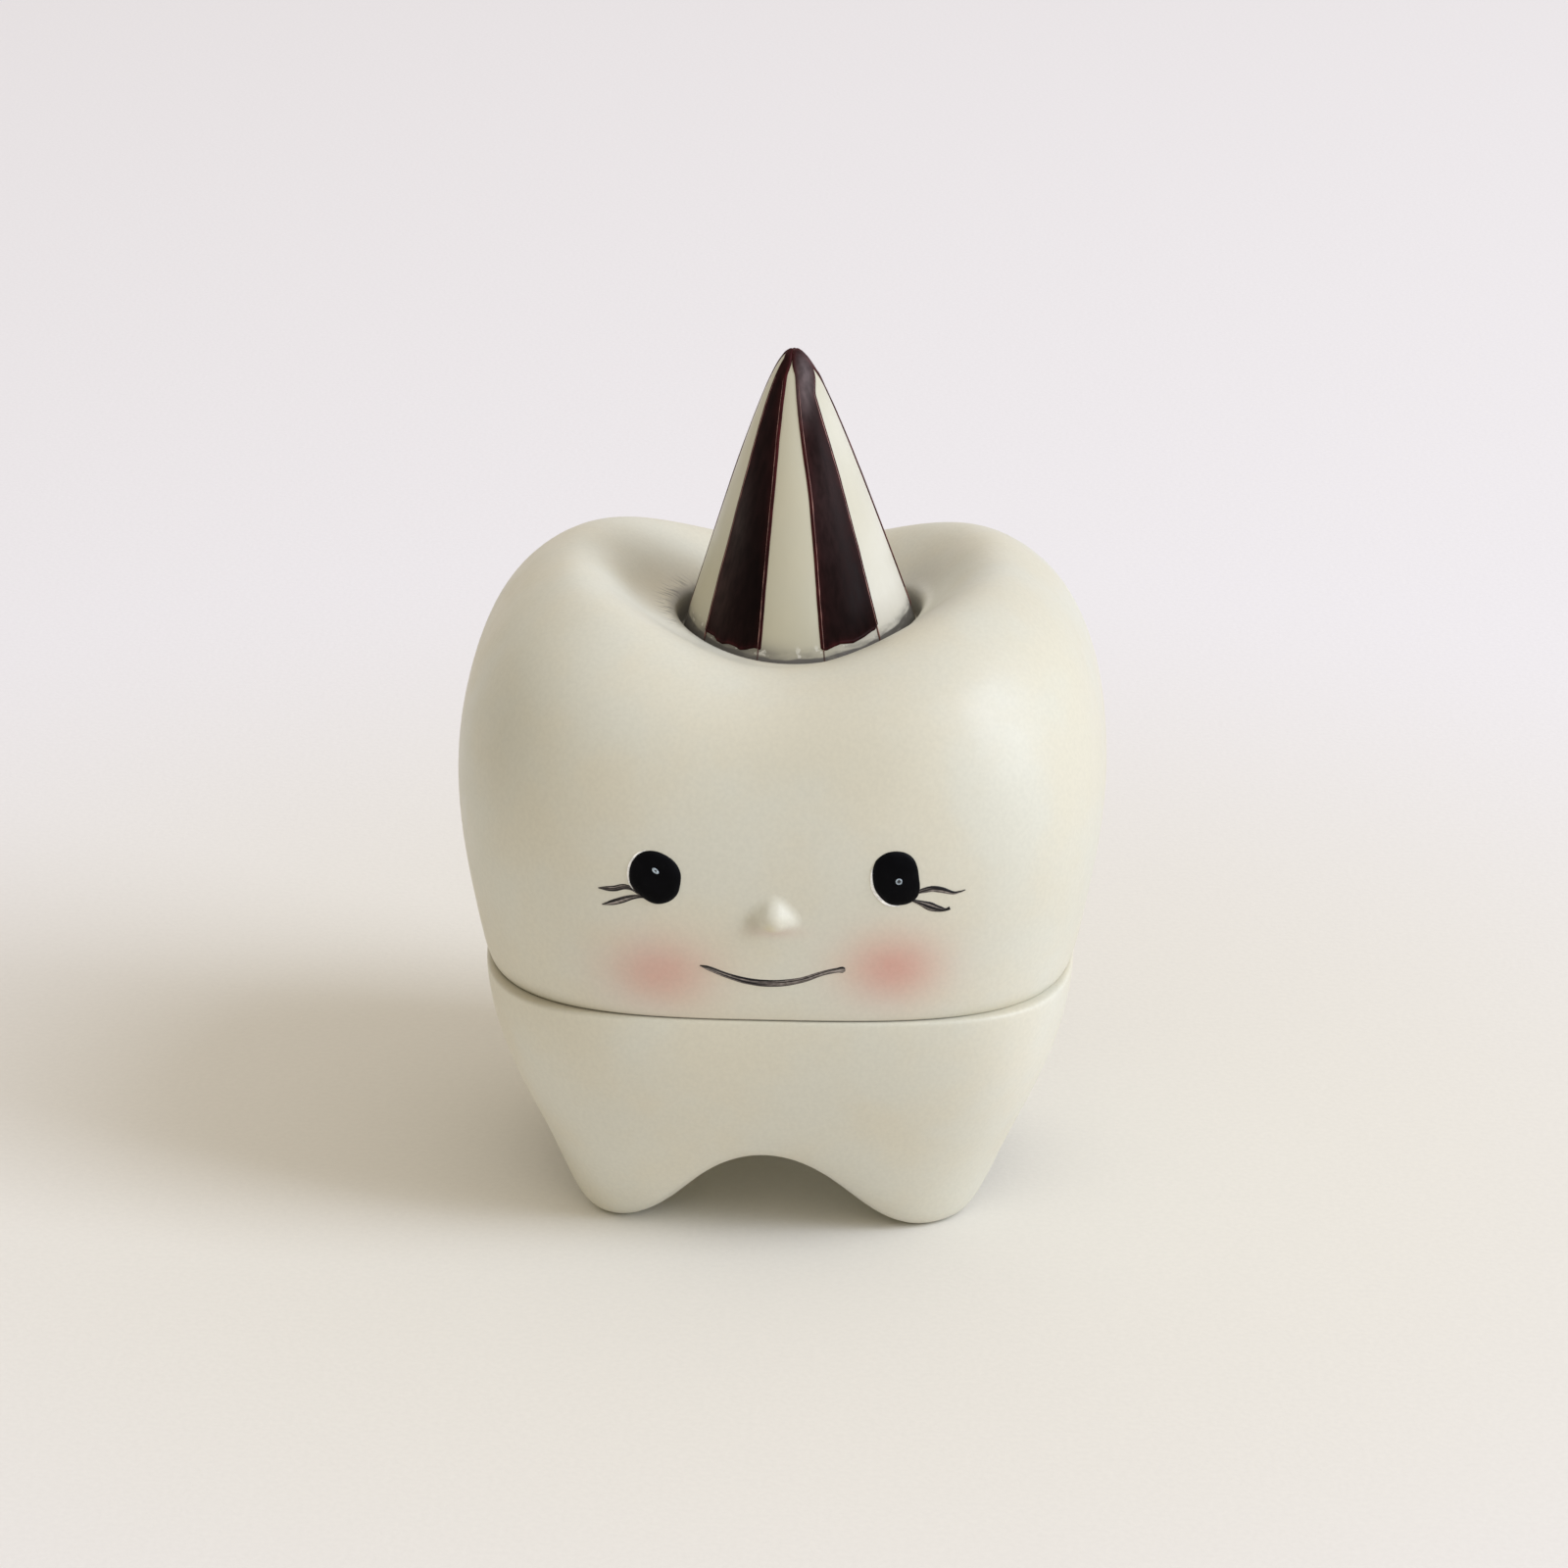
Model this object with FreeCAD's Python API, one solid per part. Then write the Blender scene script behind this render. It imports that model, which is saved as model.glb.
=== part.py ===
import FreeCAD, Part
import math
import os

vector = FreeCAD.Vector

# A keepsake box for milk teeth, cast and hand painted: a base with four roots, a crown that
# lifts off it as the lid, and a party hat that plugs into the crown.
# Millimetres, +Z up. The box stands on z = 0, and its face looks along -Y.

# Base
base_height = 26.8          # floor to the seam
root_width = 43.4           # over the outside of the roots, at the floor
root_depth = 40.2
root_pitch_x = 36.0         # between the feet of two arches, over the width
root_pitch_y = 34.0
root_round = 2.6            # rounding of the base's lower edge
foot_dip = 0.3              # ground off under each root, which leaves a flat
arch_rise = 9.6             # floor to the top of the arch between two roots
arch_shift = 1.1            # the front and back arches lie this far to the left
vault_step = 1.0            # the flat underside lies this much over the arches
vault_radius = 6.0
base_floor = 3.4            # between the flat underside and the cavity
rim_round = 0.5             # rounded edge of the rim
base_squareness = 4.1
flare_power = 1.55          # how the wall swells from the roots to the rim

# Lip on the rim, which keeps the lid in place
lip_height = 3.0
lip_wall = 2.0
lip_clearance = 0.45
lip_draft = 0.5             # the lip narrows by this much to its top

# Crown, which is the lid
crown_width = 65.4
crown_depth = 61.4
crown_height = 32.8         # seam to the crest before and behind the hat
lobe_rise = 5.4             # the lobes at the sides stand this far over the crest
crown_wall = 4.6            # at the seam
crown_roof = 4.0            # between the hollow and the hat's socket
seam_break = 0.25           # broken edge along the seam

# Hat
hat_radius = 11.9
hat_height = 29.2           # seat to tip
hat_brow = 2.2              # where its side, drawn on straight from the foot, gets to the tip's height
hat_ogive = 1.6             # over one; the higher, the straighter its side and the tighter its tip
hat_shift = 1.5             # the hat stands a little to the right of the crown's middle
hat_lean = -1.6             # degrees, leaning to the left
spigot_radius = 8.0
spigot_length = 5.0
spigot_clearance = 0.25

# Seat round the hat's foot
seat_clearance = 0.35
seat_depth = 1.8            # crest down to the seat
seat_wall = 0.8             # the seat's edge stands this far over it at the front
seat_rise = 2.4             # and this much further at the sides
seat_roll = 0.8             # rounded edge of the seat

# Nose, part of the crown's casting
nose_width = 7.6            # over its lower corners, before it is rounded
nose_tall = 4.4             # from there to its top
nose_proud = 2.7            # its tip over the face
nose_drop = 1.0             # the tip lies this far over the lower corners
nose_height = 10.3          # seam to the lower corners
nose_round = 1.5            # rounding between its three sides
nose_blend = 1.2            # fillet where it grows out of the face

# Enamel
eye_spacing = 23.4
eye_height = 16.1           # seam to the middle of an eye
eye_skew = 0.4              # the right eye is set this much higher than the left
eye_width = 5.1
eye_tall = 5.7
eye_dome = 0.55
mouth_width = 14.2
mouth_height = 6.3          # seam to the mouth's ends
mouth_sag = 1.7
mouth_stroke = 0.9
lash_length = 3.6
lash_stroke = 0.75
stroke_thick = 0.2          # brushed lines and stripes stand this far proud
stripe_count = 5
stripe_angle = 36.0         # degrees that one stripe takes
stripe_start = 14.6         # degrees from the front to the first stripe's edge
stripe_band = 1.5           # bare band from the hat's seat to the stripes
stripe_cap = 3.6            # the stripes run together this far from the tip

# size, height to the crest, lobe and squareness of each ring of the crown, from the seam up
crown_shares = [
    (0.912, 0.00, 0.00, 3.4),
    (0.927, 0.05, 0.00, 3.4),
    (0.953, 0.19, 0.00, 3.4),
    (0.982, 0.35, 0.02, 3.4),
    (1.003, 0.52, 0.06, 3.2),
    (0.996, 0.69, 0.15, 3.0),
    (0.950, 0.84, 0.34, 2.9),
    (0.862, 0.95, 0.66, 2.8),
    (0.715, 1.015, 0.98, 2.6),
]
# way from the last of those rings to the seat, height, lobe and squareness of the rings in the dimple
dimple_shares = [(0.32, 1.025, 1.0, 2.5), (0.58, 1.0, 0.82, 2.3), (0.82, 0.975, 0.48, 2.1)]
# size and height of each ring of the hollow in the crown, from the seam up
hollow_shares = [(1.0, 0.0), (0.99, 0.3), (0.97, 0.62), (0.92, 0.86), (0.78, 1.0), (0.6, 1.0), (0.35, 1.0)]
# size and depth of each ring of the base's cavity, from the top down
cavity_shares = [(1.0, 0.0), (1.0, 0.35), (0.97, 0.65), (0.93, 0.88), (0.82, 1.0), (0.64, 1.0), (0.4, 1.0)]
# how far down the wall each ring of the base lies
wall_shares = [0.10, 0.28, 0.48, 0.66, 0.82]
# inset and lift of each ring round the base's lower edge, as shares of its rounding
edge_shares = [(0.0, 1.0), (0.16, 0.25), (0.75, 0.0), (1.9, 0.0)]
# size of each ring under the base, and how far it has risen to the flat underside
vault_shares = [(0.60, 0.30), (0.46, 0.85), (0.34, 1.0)]
# where each lash leaves its eye, in half sizes of the eye, and where it points, in lash lengths
lash_shares = [((0.95, -0.52), (1.0, 0.0)), ((0.62, -0.86), (1.0, -0.2))]

lobe_breadth = 4            # even; the higher, the broader the lobes' crests
hollow_squareness = 3.4
round_squareness = 2        # a true circle
wall_brow_share = 0.8       # how far up the seat's wall its rounding starts, and its foot ends
wall_foot_share = 0.25
front_turn = -90            # degrees, where the face looks
ring_poles = 48
nose_run = 1.8              # its sides run on into the crown, in lengths of what shows of them
overrun = 1.0               # cuts run this far past what they cut
touch = 0.0001              # points nearer than this are one point

# The rim matches the crown's seam, and the lip and the cavity follow the crown's mouth.
seam = base_height
seat_height = seam + crown_height - seat_depth
vault_height = arch_rise + vault_step
seam_half_x = crown_width * crown_shares[0][0] / 2
seam_half_y = crown_depth * crown_shares[0][0] / 2
mouth_half_x = seam_half_x - crown_wall
mouth_half_y = seam_half_y - crown_wall
lip_half_x = mouth_half_x - lip_clearance
lip_half_y = mouth_half_y - lip_clearance
cavity_half_x = lip_half_x - lip_wall
cavity_half_y = lip_half_y - lip_wall
socket_depth = spigot_length + spigot_clearance
seat_radius = hat_radius + seat_clearance
hat_place = FreeCAD.Placement(
    vector(hat_shift, 0, seat_height), FreeCAD.Rotation(vector(0, 1, 0), hat_lean))


def polar_size(half_x, half_y, squareness, turn):
    # Distance from the middle to the edge of a rounded square.
    part_x = abs(math.cos(turn) / half_x) ** squareness
    part_y = abs(math.sin(turn) / half_y) ** squareness
    return (part_x + part_y) ** (-1 / squareness)


def ring(size_at, height_at):
    # One closed row of points: how far out and how high it lies at each turn.
    points = []
    for i in range(ring_poles):
        turn = 2 * math.pi * i / ring_poles
        size = size_at(turn)
        points.append(vector(size * math.cos(turn), size * math.sin(turn), height_at(turn)))
    return points


def flat_ring(half_x, half_y, squareness, height):
    return ring(lambda turn: polar_size(half_x, half_y, squareness, turn), lambda turn: height)


def skin_solid(rings):
    # A smooth skin over rings of poles, closed by a flat face at each end.
    rows = len(rings)
    columns = len(rings[0])
    poles = [[row[i] for row in rings] for i in range(columns)]
    surface = Part.BSplineSurface()
    surface.buildFromPolesMultsKnots(
        poles, [1] * (columns + 1), [4] + [1] * (rows - 4) + [4],
        list(range(columns + 1)), list(range(rows - 2)), True, False, 3, 3)
    side = surface.toShape()
    ends = [Part.Face(Part.Wire([edge])).reversed() for edge in side.Edges if edge.isClosed()]
    solid = Part.makeSolid(Part.makeShell([side] + ends))
    if solid.Volume < 0:
        solid.reverse()
    return solid


def crown_ring(half_x, half_y, height, lobe, squareness):
    low = seam + crown_height * height
    lift = lobe_rise * lobe
    return ring(
        lambda turn: polar_size(half_x, half_y, squareness, turn),
        lambda turn: low + lift * (1 - math.sin(turn) ** lobe_breadth))


def seat_ring(radius, lift):
    return ring(lambda turn: radius, lambda turn: lift * (seat_wall + seat_rise * math.cos(turn) ** 2))


def crown_solid(grow=0.0):
    # The seam's broken edge, the wall and lobes, the dimple and the seat, grown sideways if asked.
    edge = seam_break - grow
    squareness = crown_shares[0][3]
    rings = [flat_ring(seam_half_x - edge, seam_half_y - edge, squareness, seam),
             flat_ring(seam_half_x + grow, seam_half_y + grow, squareness, seam + seam_break)]
    for size, height, lobe, squareness in crown_shares[1:]:
        half_x = crown_width / 2 * size + grow
        half_y = crown_depth / 2 * size + grow
        rings.append(crown_ring(half_x, half_y, height, lobe, squareness))
    seat_edge = seat_radius + seat_roll
    for way, height, lobe, squareness in dimple_shares:
        across = half_x + (seat_edge - half_x) * way
        along = half_y + (seat_edge - half_y) * way
        rings.append(crown_ring(across, along, height, lobe, squareness))
    for radius, lift in ((seat_edge, 1), (seat_radius, wall_brow_share), (seat_radius, wall_foot_share),
                         (seat_radius, 0)):
        rings.append([hat_place.multVec(point) for point in seat_ring(radius, lift)])
    return skin_solid(rings)


def base_size(height, turn):
    # The wall swells from the roots' size at the floor to the crown's at the seam.
    share = min(max(height / base_height, 0.0), 1.0)
    flare = math.sin(math.pi / 2 * share) ** flare_power
    half_x = root_width / 2 + (seam_half_x - root_width / 2) * flare
    half_y = root_depth / 2 + (seam_half_y - root_depth / 2) * flare
    return polar_size(half_x, half_y, base_squareness, turn)


def lower_edge(turn):
    # Height of the base's lower edge: the floor at the roots, an arch between them.
    size = base_size(arch_rise / 2, turn)
    along_x = abs(size * math.cos(turn) + arch_shift) / (root_pitch_x / 2)
    along_y = abs(size * math.sin(turn)) / (root_pitch_y / 2)
    share = min(along_x, along_y, 1.0)
    return arch_rise * (1 + math.cos(math.pi * share)) / 2 - foot_dip


def wall_ring(drop):
    def height_at(turn):
        return base_height - drop * (base_height - lower_edge(turn) - root_round)
    return ring(lambda turn: base_size(height_at(turn), turn), height_at)


def edge_ring(inset, lift):
    def height_at(turn):
        return lower_edge(turn) + lift * root_round
    return ring(lambda turn: base_size(height_at(turn), turn) - inset * root_round, height_at)


def vault_ring(size, rise):
    return ring(
        lambda turn: base_size(lower_edge(turn), turn) * size,
        lambda turn: lower_edge(turn) + (vault_height - lower_edge(turn)) * rise)


def base_skin():
    rings = [
        flat_ring(seam_half_x - rim_round, seam_half_y - rim_round, base_squareness, seam),
        flat_ring(seam_half_x, seam_half_y, base_squareness, seam),
        flat_ring(seam_half_x, seam_half_y, base_squareness, seam - rim_round)]
    rings += [wall_ring(drop) for drop in wall_shares]
    rings += [edge_ring(inset, lift) for inset, lift in edge_shares]
    rings += [vault_ring(size, rise) for size, rise in vault_shares]
    rings.append(flat_ring(vault_radius, vault_radius, round_squareness, vault_height))
    return skin_solid(rings)


def lip_solid():
    rows = [(-overrun, 0), (0, 0), (lip_height / 2, 0), (lip_height, lip_draft)]
    return skin_solid([
        flat_ring(lip_half_x - inset, lip_half_y - inset, hollow_squareness, seam + lift)
        for lift, inset in rows])


def cavity_solid():
    top = seam + lip_height + overrun
    depth = top - vault_height - base_floor
    return skin_solid([
        flat_ring(cavity_half_x * size, cavity_half_y * size, hollow_squareness, top - depth * drop)
        for size, drop in cavity_shares])


def make_base():
    ground = Part.makeBox(crown_width, crown_depth, base_height)
    ground.translate(vector(-crown_width / 2, -crown_depth / 2, -base_height))
    body = base_skin().cut(ground)
    return body.fuse(lip_solid()).cut(cavity_solid()).removeSplitter()


def hollow_solid():
    start = seam - overrun
    rise = seat_height - socket_depth - crown_roof - start
    return skin_solid([
        flat_ring(mouth_half_x * size, mouth_half_y * size, hollow_squareness, start + rise * lift)
        for size, lift in hollow_shares])


def make_lid(crown):
    socket = Part.makeCylinder(
        spigot_radius + spigot_clearance, socket_depth + overrun, vector(0, 0, -socket_depth))
    socket.Placement = hat_place
    nose = make_nose(crown)
    lid = crown.cut(hollow_solid()).cut(socket).fuse(nose).removeSplitter()
    around = [edge for edge in lid.Edges if not edge.Degenerated
              and edge.CenterOfMass.distanceToPoint(nose.CenterOfMass) < nose_tall
              and touches(crown, edge.valueAt(sum(edge.ParameterRange) / 2))]
    return lid.makeFillet(nose_blend, around)


def hat_profile(grow):
    # Half outline of the hat from the middle of its seat: its side is one conic, level at the tip.
    middle = vector(0, 0, 0)
    foot = vector(hat_radius + grow, 0, 0)
    brow = vector(hat_brow + grow, 0, hat_height + grow)
    tip = vector(0, 0, hat_height + grow)
    side = Part.BezierCurve()
    side.setPoles([foot, brow, tip])
    side.setWeight(2, hat_ogive)
    return Part.Wire([
        Part.LineSegment(middle, foot).toShape(), side.toShape(), Part.LineSegment(tip, middle).toShape()])


def hat_cone(grow=0.0):
    return Part.Face(hat_profile(grow)).revolve(vector(0, 0, 0), vector(0, 0, 1), 360)


def make_hat():
    spigot = Part.makeCylinder(spigot_radius, spigot_length + overrun, vector(0, 0, -spigot_length))
    hat = hat_cone().fuse(spigot).removeSplitter()
    hat.Placement = hat_place
    return hat


def make_stripes():
    # One coat of enamel: stripes up the hat that run together at its tip.
    coat = hat_cone(stroke_thick).cut(hat_cone())
    reach = hat_radius + overrun
    rise = hat_height - stripe_band + overrun
    mask = Part.makeCylinder(reach, stripe_cap + overrun, vector(0, 0, hat_height - stripe_cap))
    for i in range(stripe_count):
        wedge = Part.makeCylinder(reach, rise, vector(0, 0, stripe_band), vector(0, 0, 1), stripe_angle)
        wedge.rotate(vector(0, 0, 0), vector(0, 0, 1), front_turn + stripe_start + i * 360 / stripe_count)
        mask = mask.fuse(wedge)
    stripes = coat.common(mask).removeSplitter()
    stripes.Placement = hat_place
    return stripes


def front_point(crown, x, z):
    # Where a level line from the front meets the crown.
    line = Part.makeLine(vector(x, -crown_depth, z), vector(x, 0, z))
    return vector(x, min(vertex.Y for vertex in crown.common(line).Vertexes), z)


def front_normal(crown, x, z, step):
    # Outward normal there, from points a step apart.
    across = front_point(crown, x + step, z) - front_point(crown, x - step, z)
    up = front_point(crown, x, z + step) - front_point(crown, x, z - step)
    return across.cross(up).normalize()


def touches(shape, point):
    # Whether a point lies on the skin of a shape.
    return min(face.distToShape(Part.Vertex(point))[0] for face in shape.Faces) < touch


def make_nose(crown):
    # Three sides that rise from the face to a tip, with rounded edges between them.
    foot = front_point(crown, 0, seam + nose_height)
    out = front_normal(crown, 0, seam + nose_height + nose_drop, nose_width / 2)
    up = out.cross(vector(1, 0, 0)).normalize()
    across = vector(nose_width / 2, 0, 0)
    tip = foot + up * nose_drop + out * nose_proud
    corners = [foot - across, foot + across, foot + up * nose_tall]
    roots = [tip + (corner - tip) * nose_run for corner in corners]
    solid = Part.makeLoft([Part.makePolygon(roots + roots[:1]), Part.Vertex(tip)], True, True)
    ridges = [edge for edge in solid.Edges
              if min(vertex.Point.distanceToPoint(tip) for vertex in edge.Vertexes) < touch]
    return solid.makeFillet(nose_round, ridges).Solids[0]


def dome(crown, x, z, width, tall, proud):
    # An ellipsoid sunk to its middle in the front of the crown.
    stretch = FreeCAD.Matrix()
    stretch.scale(width / 2, proud, tall / 2)
    ball = Part.makeSphere(1).transformGeometry(stretch)
    facing = FreeCAD.Rotation(vector(0, -1, 0), front_normal(crown, x, z, width / 2))
    ball.Placement = FreeCAD.Placement(front_point(crown, x, z), facing)
    return ball


def brush_stroke(crown, coat, start, end, bow, thick):
    # A thin coat of paint on the front of the crown, pointed at both ends and bowed by bow.
    middle = (start + end) / 2 + vector(0, 0, bow)
    half = vector(0, 0, thick / 2)
    outline = Part.Face(Part.Wire([
        Part.Arc(start, middle + half, end).toShape(),
        Part.Arc(end, middle - half, start).toShape()]))
    outline.translate(vector(0, -crown_depth, 0))
    return outline.extrude(vector(0, crown_depth, 0)).common(coat).cut(crown)


def make_mouth(crown, coat):
    start = vector(-mouth_width / 2, 0, seam + mouth_height)
    end = vector(mouth_width / 2, 0, seam + mouth_height)
    return brush_stroke(crown, coat, start, end, -mouth_sag, mouth_stroke)


def make_lashes(crown, coat, eye, side, level):
    # Two short strokes that fan out from the outer lower edge of an eye.
    lashes = []
    for (root_x, root_z), (tip_x, tip_z) in lash_shares:
        root = vector(side * (eye_spacing / 2 + eye_width / 2 * root_x), 0, level + eye_tall / 2 * root_z)
        tip = root + vector(side * tip_x, 0, tip_z) * lash_length
        lashes.append(brush_stroke(crown, coat, root, tip, 0, lash_stroke).cut(eye))
    return Part.makeCompound(lashes)


crown = crown_solid()
coat = crown_solid(stroke_thick)
pieces = {
    "base": make_base(),
    "lid": make_lid(crown),
    "party_hat": make_hat(),
    "hat_stripes": make_stripes(),
    "mouth": make_mouth(crown, coat),
}
for name, side in (("left", -1), ("right", 1)):
    level = seam + eye_height + side * eye_skew / 2
    eye = dome(crown, side * eye_spacing / 2, level, eye_width, eye_tall, eye_dome)
    pieces[name + "_eye"] = eye.cut(crown)
    pieces[name + "_lashes"] = make_lashes(crown, coat, eye, side, level)

os.makedirs("parts", exist_ok=True)
for name, shape in pieces.items():
    shape.exportStep("parts/" + name + ".step")
    print(name, len(shape.Solids), "solids, valid", shape.isValid(), round(shape.Volume, 2), "mm3")
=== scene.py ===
import math
from bisect import bisect
import bmesh
import bpy
from mathutils import Matrix, Vector, noise
from mathutils.bvhtree import BVHTree


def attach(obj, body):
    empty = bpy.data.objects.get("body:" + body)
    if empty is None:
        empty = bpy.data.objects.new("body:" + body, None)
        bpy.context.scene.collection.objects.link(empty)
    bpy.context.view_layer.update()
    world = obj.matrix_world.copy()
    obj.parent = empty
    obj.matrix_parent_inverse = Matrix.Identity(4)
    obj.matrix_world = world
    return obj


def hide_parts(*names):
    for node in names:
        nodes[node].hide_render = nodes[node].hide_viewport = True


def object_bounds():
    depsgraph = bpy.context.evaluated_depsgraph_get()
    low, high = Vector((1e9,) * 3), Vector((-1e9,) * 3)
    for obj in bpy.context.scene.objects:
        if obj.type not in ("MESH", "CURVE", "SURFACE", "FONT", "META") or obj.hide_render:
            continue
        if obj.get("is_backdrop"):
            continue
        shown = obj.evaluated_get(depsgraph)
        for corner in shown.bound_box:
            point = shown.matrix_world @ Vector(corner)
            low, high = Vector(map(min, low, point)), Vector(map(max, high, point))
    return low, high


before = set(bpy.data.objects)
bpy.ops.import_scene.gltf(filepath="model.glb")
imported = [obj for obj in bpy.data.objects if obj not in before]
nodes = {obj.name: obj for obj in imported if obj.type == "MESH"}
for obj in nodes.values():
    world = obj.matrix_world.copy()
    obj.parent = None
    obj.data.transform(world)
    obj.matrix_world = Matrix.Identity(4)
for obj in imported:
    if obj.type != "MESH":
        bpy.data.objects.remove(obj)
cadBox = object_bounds()
scene = bpy.context.scene
scene.view_settings.view_transform = "Standard"
mm = 0.001
noiseMost = (0.25, 0.75)        # where most values of a noise texture lie
noiseMiddle = (0.3, 0.7)
print("frame loaded:", ", ".join(sorted(nodes)))


# Node helpers

def addNode(tree, kind, inputs=None, **settings):
    node = tree.nodes.new(kind)
    for name, value in settings.items():
        setattr(node, name, value)
    for key, value in (inputs or {}).items():
        if isinstance(value, bpy.types.NodeSocket):
            tree.links.new(value, node.inputs[key])
        else:
            node.inputs[key].default_value = value
    return node


def sums(tree, operation, first, second=0.0):
    return addNode(tree, "ShaderNodeMath", {0: first, 1: second}, operation=operation).outputs[0]


def vectors(tree, operation, first, second):
    return addNode(tree, "ShaderNodeVectorMath", {0: first, 1: second}, operation=operation).outputs


def split(tree, place):
    return addNode(tree, "ShaderNodeSeparateXYZ", {0: place}).outputs


def span(tree, value, low, high, start=0.0, end=1.0):
    ends = {"Value": value, 1: low, 2: high, 3: start, 4: end}
    return addNode(tree, "ShaderNodeMapRange", ends, interpolation_type="SMOOTHSTEP").outputs[0]


def mixed(tree, share, first, second, blend="MIX"):
    ends = {0: share, 6: first, 7: second}
    return addNode(tree, "ShaderNodeMix", ends, data_type="RGBA", blend_type=blend).outputs[2]


def shaded(tree, colour, share):
    return addNode(tree, "ShaderNodeVectorMath", {0: colour, "Scale": share}, operation="SCALE").outputs[0]


def grain(tree, place, size, detail=3.0):  # blotches about this many millimetres wide
    ends = {"Vector": place, "Scale": 1 / size, "Detail": detail}
    return addNode(tree, "ShaderNodeTexNoise", ends).outputs["Fac"]


def stretched(tree, place, sizes):  # the same place, squeezed so that blotches get these sizes
    return vectors(tree, "MULTIPLY", place, [1 / size for size in sizes])[0]


def raised(tree, height, depth, under=None):  # depth in millimetres
    ends = {"Height": height, "Distance": depth * mm, "Strength": 1.0}
    if under:
        ends["Normal"] = under
    return addNode(tree, "ShaderNodeBump", ends).outputs["Normal"]


def startCoat(name):
    coat = bpy.data.materials.new(name)
    coat.use_nodes = True
    tree = coat.node_tree
    shader = tree.nodes["Principled BSDF"]
    spot = addNode(tree, "ShaderNodeTexCoord").outputs["Object"]
    place = shaded(tree, spot, 1 / mm)
    return coat, tree, shader, place


def dress(thing, coat):
    thing.data.materials.clear()
    thing.data.materials.append(coat)


# Camera

cameraPlan = {
    "aim": (0, 0, 41),      # millimetres, and so are the next two
    "distance": 520,
    "nearest": 10,
    "height": 21.0,         # degrees over the floor
    "turn": 1.8,            # degrees to the object's right
    "roll": 0.4,
    "focal": 5200,          # pixels
    "frame": 1600,
    "sensor": 36,
}


def placeCamera(plan):
    height = math.radians(plan["height"])
    turn = math.radians(plan["turn"])
    back = Vector((math.sin(turn) * math.cos(height), -math.cos(turn) * math.cos(height), math.sin(height)))
    right = Vector((math.cos(turn), math.sin(turn), 0))
    basis = Matrix((right, back.cross(right), back)).transposed().to_4x4()
    spot = (Vector(plan["aim"]) + back * plan["distance"]) * mm
    lens = bpy.data.cameras.new("photoCamera")
    lens.sensor_width = plan["sensor"]
    lens.lens = plan["sensor"] * plan["focal"] / plan["frame"]
    lens.clip_start = plan["nearest"] * mm
    camera = bpy.data.objects.new("photoCamera", lens)
    camera.matrix_world = Matrix.Translation(spot) @ basis @ Matrix.Rotation(math.radians(plan["roll"]), 4, "Z")
    scene.collection.objects.link(camera)
    scene.camera = camera


placeCamera(cameraPlan)
print("camera placed")


# Floor and light

floorPlan = {
    "reach": 4.0,                   # metres
    "near": (0.79, 0.762, 0.70), "far": (0.85, 0.832, 0.86),    # the paper as the camera sees it, darker and warmer near the box as painted shade and bounce light round it
    "fade": (0.05, 0.2),            # metres from the box
    "bounce": (0.90, 0.875, 0.86),  # what it throws back at the box
    "tooth": 0.6, "toothDepth": 0.02,   # millimetres
    "toothTone": (0.985, 1.015),
    "rough": 0.9, "shine": 0.1,
}
lightPlan = {
    "from": (19, 34),               # degrees to the front of the right side, and over the floor
    "distance": 2.4,                # metres, as is its size
    "size": (0.9, 2.2),
    "power": 42.5,
    "tint": (0.91, 1.0, 1.185),
    "walls": (0.25, 0.256, 0.13),       # what the room throws back at eye level
    "ceiling": (0.925, 0.845, 0.80),    # and from overhead
    "backdrop": (0.84, 0.815, 0.815),
}


def seenRay(tree):
    path = addNode(tree, "ShaderNodeLightPath").outputs
    seen = sums(tree, "MAXIMUM", path["Is Camera Ray"], path["Is Glossy Ray"])
    return sums(tree, "MAXIMUM", seen, path["Is Transmission Ray"])


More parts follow.
